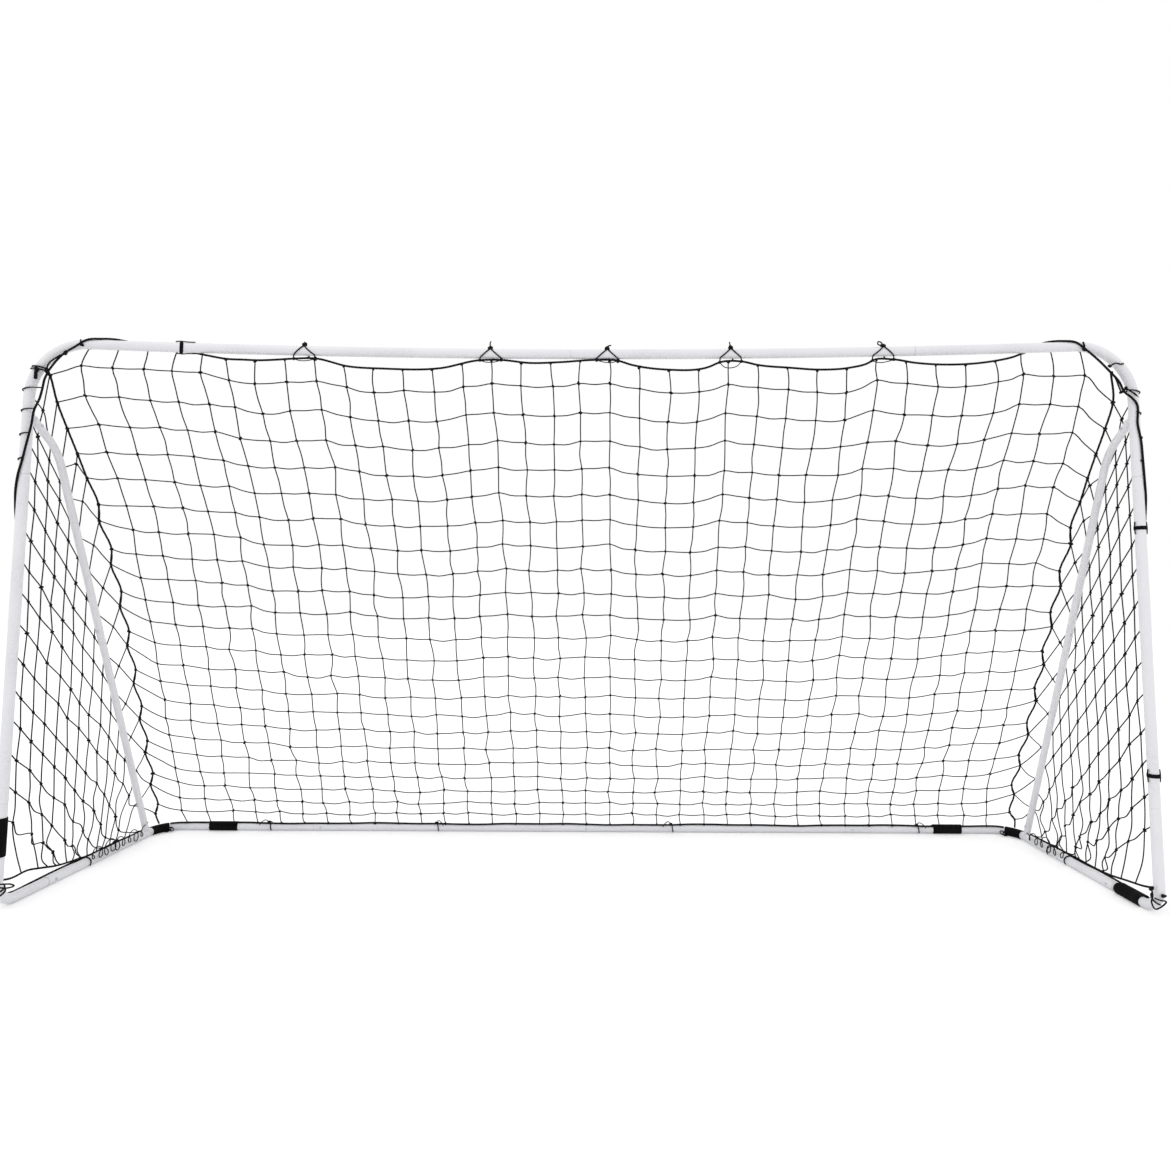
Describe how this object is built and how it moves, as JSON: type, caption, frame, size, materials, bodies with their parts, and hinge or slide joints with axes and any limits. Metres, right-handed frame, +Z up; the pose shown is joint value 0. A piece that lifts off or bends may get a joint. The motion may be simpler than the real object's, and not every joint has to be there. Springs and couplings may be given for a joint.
{
  "type": "soccer goal",
  "caption": "Free-standing portable soccer goal: white steel tube frame with snap-button joints, leaning side braces and a black knotted net held by ropes, ties and wraps",
  "frame": {"origin": "on the ground under the middle of the frame, halfway along the crossbar and halfway back", "axes": "+X along the crossbar to the right as seen from the field, +Y to the rear, +Z up"},
  "size_m": [3.6762, 0.9282, 1.83],
  "materials": {
    "white_coat": "white powder coat, satin",
    "button_steel": "zinc plated, satin",
    "black_net": "braided polyethylene cord, matte",
    "black_rope": "twisted polypropylene rope, matte",
    "black_fabric": "woven hook-and-loop tape, matte"
  },
  "bodies": {
    "frame": {"top_corner_left": "white_coat", "post_left": "white_coat", "foot_bend_left": "white_coat", "rear_corner_left": "white_coat", "brace_upper_left": "white_coat", "brace_lower_left": "white_coat", "crossbar_left": "white_coat", "rear_bar_left": "white_coat", "top_corner_right": "white_coat", "post_right": "white_coat", "foot_bend_right": "white_coat", "rear_corner_right": "white_coat", "brace_upper_right": "white_coat", "brace_lower_right": "white_coat", "crossbar_right": "white_coat", "rear_bar_right": "white_coat", "back_net": "black_net", "side_net_left": "black_net", "side_net_right": "black_net", "top_rope": "black_rope", "rear_rope": "black_rope", "side_rope_left": "black_rope", "side_rope_right": "black_rope", "seam_rope_left": "black_rope", "seam_rope_right": "black_rope", "tie_crossbar_1": "black_rope", "tie_crossbar_2": "black_rope", "tie_crossbar_3": "black_rope", "tie_crossbar_4": "black_rope", "tie_crossbar_5": "black_rope", "strap_crossbar": "black_fabric", "strap_post_right_upper": "black_fabric", "strap_post_right_lower": "black_fabric", "wrap_post_left": "black_fabric", "wrap_side_right": "black_fabric", "wrap_rear_left": "black_fabric", "wrap_rear_right": "black_fabric", "wrap_corner_left": "black_fabric", "wrap_corner_right": "black_fabric"},
    "button_crossbar_left": {"snap_button_crossbar_left": "button_steel"},
    "button_crossbar_centre": {"snap_button_crossbar_centre": "button_steel"},
    "button_crossbar_right": {"snap_button_crossbar_right": "button_steel"},
    "button_rear_left": {"snap_button_rear_left": "button_steel"},
    "button_rear_centre": {"snap_button_rear_centre": "button_steel"},
    "button_rear_right": {"snap_button_rear_right": "button_steel"},
    "button_post_top_left": {"snap_button_post_top_left": "button_steel"},
    "button_post_foot_left": {"snap_button_post_foot_left": "button_steel"},
    "button_side_left": {"snap_button_side_left": "button_steel"},
    "button_brace_top_left": {"snap_button_brace_top_left": "button_steel"},
    "button_brace_middle_left": {"snap_button_brace_middle_left": "button_steel"},
    "button_brace_foot_left": {"snap_button_brace_foot_left": "button_steel"},
    "button_post_top_right": {"snap_button_post_top_right": "button_steel"},
    "button_post_foot_right": {"snap_button_post_foot_right": "button_steel"},
    "button_side_right": {"snap_button_side_right": "button_steel"},
    "button_brace_top_right": {"snap_button_brace_top_right": "button_steel"},
    "button_brace_middle_right": {"snap_button_brace_middle_right": "button_steel"},
    "button_brace_foot_right": {"snap_button_brace_foot_right": "button_steel"}
  },
  "joints": [
    {"name": "push_crossbar_left", "type": "slide", "parent": "frame", "child": "button_crossbar_left", "axis": [0, -1, 0], "range_m": [0, 0.0055], "stiffness_N_per_m": 1500},
    {"name": "push_crossbar_centre", "type": "slide", "parent": "frame", "child": "button_crossbar_centre", "axis": [0, -1, 0], "range_m": [0, 0.0055], "stiffness_N_per_m": 1500},
    {"name": "push_crossbar_right", "type": "slide", "parent": "frame", "child": "button_crossbar_right", "axis": [0, -1, 0], "range_m": [0, 0.0055], "stiffness_N_per_m": 1500},
    {"name": "push_rear_left", "type": "slide", "parent": "frame", "child": "button_rear_left", "axis": [0, 1, 0], "range_m": [0, 0.0055], "stiffness_N_per_m": 1500},
    {"name": "push_rear_centre", "type": "slide", "parent": "frame", "child": "button_rear_centre", "axis": [0, 1, 0], "range_m": [0, 0.0055], "stiffness_N_per_m": 1500},
    {"name": "push_rear_right", "type": "slide", "parent": "frame", "child": "button_rear_right", "axis": [0, 1, 0], "range_m": [0, 0.0055], "stiffness_N_per_m": 1500},
    {"name": "push_post_top_left", "type": "slide", "parent": "frame", "child": "button_post_top_left", "axis": [0, -1, 0], "range_m": [0, 0.0055], "stiffness_N_per_m": 1500},
    {"name": "push_post_foot_left", "type": "slide", "parent": "frame", "child": "button_post_foot_left", "axis": [0, -1, 0], "range_m": [0, 0.0055], "stiffness_N_per_m": 1500},
    {"name": "push_side_left", "type": "slide", "parent": "frame", "child": "button_side_left", "axis": [-1, 0, 0], "range_m": [0, 0.0055], "stiffness_N_per_m": 1500},
    {"name": "push_brace_top_left", "type": "slide", "parent": "frame", "child": "button_brace_top_left", "axis": [-1, 0, 0], "range_m": [0, 0.0052], "stiffness_N_per_m": 1500},
    {"name": "push_brace_middle_left", "type": "slide", "parent": "frame", "child": "button_brace_middle_left", "axis": [0, 0.9184, 0.3955], "range_m": [0, 0.0052], "stiffness_N_per_m": 1500},
    {"name": "push_brace_foot_left", "type": "slide", "parent": "frame", "child": "button_brace_foot_left", "axis": [-1, 0, 0], "range_m": [0, 0.0052], "stiffness_N_per_m": 1500},
    {"name": "push_post_top_right", "type": "slide", "parent": "frame", "child": "button_post_top_right", "axis": [0, -1, 0], "range_m": [0, 0.0055], "stiffness_N_per_m": 1500},
    {"name": "push_post_foot_right", "type": "slide", "parent": "frame", "child": "button_post_foot_right", "axis": [0, -1, 0], "range_m": [0, 0.0055], "stiffness_N_per_m": 1500},
    {"name": "push_side_right", "type": "slide", "parent": "frame", "child": "button_side_right", "axis": [1, 0, 0], "range_m": [0, 0.0055], "stiffness_N_per_m": 1500},
    {"name": "push_brace_top_right", "type": "slide", "parent": "frame", "child": "button_brace_top_right", "axis": [1, 0, 0], "range_m": [0, 0.0052], "stiffness_N_per_m": 1500},
    {"name": "push_brace_middle_right", "type": "slide", "parent": "frame", "child": "button_brace_middle_right", "axis": [0, 0.9184, 0.3955], "range_m": [0, 0.0052], "stiffness_N_per_m": 1500},
    {"name": "push_brace_foot_right", "type": "slide", "parent": "frame", "child": "button_brace_foot_right", "axis": [1, 0, 0], "range_m": [0, 0.0052], "stiffness_N_per_m": 1500}
  ]
}
